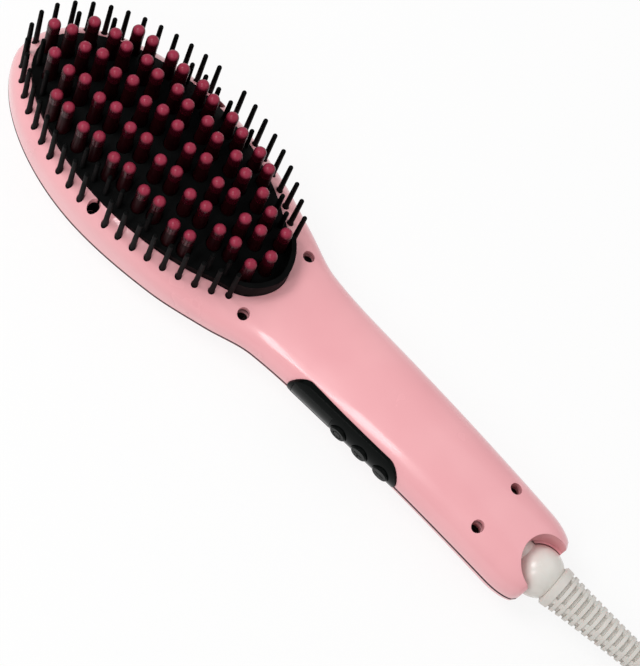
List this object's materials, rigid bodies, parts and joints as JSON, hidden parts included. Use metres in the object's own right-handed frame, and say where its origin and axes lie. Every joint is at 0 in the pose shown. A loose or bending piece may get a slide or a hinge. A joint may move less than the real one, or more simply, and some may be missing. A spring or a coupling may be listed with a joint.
{
  "type": "heated hair straightening brush",
  "caption": "Heated hair straightening brush with a pink housing, a black comb pad around red tipped teeth, a side panel of buttons and a display, and a swivelling power cord.",
  "frame": {"origin": "under the middle of the brush without its cord, on the plane that it lies on, back down", "axes": "+X from the head to the swivel ball at the end of the handle, +Y to the side without the control panel, +Z from the back towards the teeth"},
  "size_m": [0.415, 0.1096, 0.0575],
  "materials": {
    "pink_shell": "glossy moulded",
    "black_comb": "satin moulded",
    "coated_plate": "ceramic coated cast aluminium",
    "red_tips": "satin heat resistant",
    "ceramic": "fired ceramic",
    "mica": "pressed mica",
    "spring_steel": "stamped",
    "screw_steel": "zinc plated",
    "fuse_case": "drawn",
    "glass_bead": "polished",
    "heat_plastic": "heat resistant moulded",
    "panel_black": "polished",
    "window": "smoked clear",
    "lcd": "display glass",
    "board_green": "solder mask",
    "switch_body": "moulded",
    "button_black": "satin",
    "chip_black": "moulded",
    "capacitor_yellow": "dipped",
    "lead_red": "silicone sleeve",
    "lead_white": "silicone sleeve",
    "contact_brass": "rolled",
    "bearing_white": "acetal",
    "ball_white": "smooth moulded",
    "cord_white": "satin vinyl",
    "tie_black": "flexible strap",
    "pin_nickel": "nickel plated"
  },
  "bodies": {
    "housing": {"front_shell": "pink_shell", "rear_shell": "pink_shell", "edge_comb": "black_comb", "comb_base": "black_comb", "heater_plate": "coated_plate", "tooth_tips": "red_tips", "heating_element": "ceramic", "insulation_sheet": "mica", "heater_clamp": "spring_steel", "clamp_screws": "screw_steel", "thermal_fuse": "fuse_case", "thermistor": "glass_bead", "heat_shield": "heat_plastic", "shield_screws": "screw_steel", "housing_screws": "screw_steel", "control_panel": "panel_black", "display_window": "window", "lcd_module": "lcd", "control_board": "board_green", "board_screws": "screw_steel", "tact_switches": "switch_body", "triac": "chip_black", "film_capacitor": "capacitor_yellow", "heater_leads": "lead_red", "supply_leads": "lead_white", "contact_block": "heat_plastic", "contact_fingers": "contact_brass", "swivel_bush": "bearing_white"},
    "cord_swivel": {"swivel_ball": "ball_white", "swivel_collar": "bearing_white", "slip_rings": "contact_brass", "strain_relief": "cord_white", "cord_run": "cord_white", "cord_coil": "cord_white", "cord_tail": "cord_white", "cord_tie": "tie_black", "plug_body": "cord_white", "plug_pins": "pin_nickel"},
    "power_button_body": {"power_button": "button_black"},
    "plus_button_body": {"plus_button": "button_black"},
    "minus_button_body": {"minus_button": "button_black"}
  },
  "joints": [
    {"name": "swivel_turn", "type": "hinge", "parent": "housing", "child": "cord_swivel", "pos_m": [0.12663, 0, 0.0131], "axis": [0.9945, 0, -0.1045], "continuous": true},
    {"name": "power_press", "type": "slide", "parent": "housing", "child": "power_button_body", "axis": [-0.0308, 0.9995, 0], "range_m": [0, 0.0006], "stiffness_N_per_m": 1500, "springref_m": -0.0004},
    {"name": "plus_press", "type": "slide", "parent": "housing", "child": "plus_button_body", "axis": [-0.0308, 0.9995, 0], "range_m": [0, 0.0006], "stiffness_N_per_m": 1500, "springref_m": -0.0004},
    {"name": "minus_press", "type": "slide", "parent": "housing", "child": "minus_button_body", "axis": [-0.0308, 0.9995, 0], "range_m": [0, 0.0006], "stiffness_N_per_m": 1500, "springref_m": -0.0004}
  ]
}
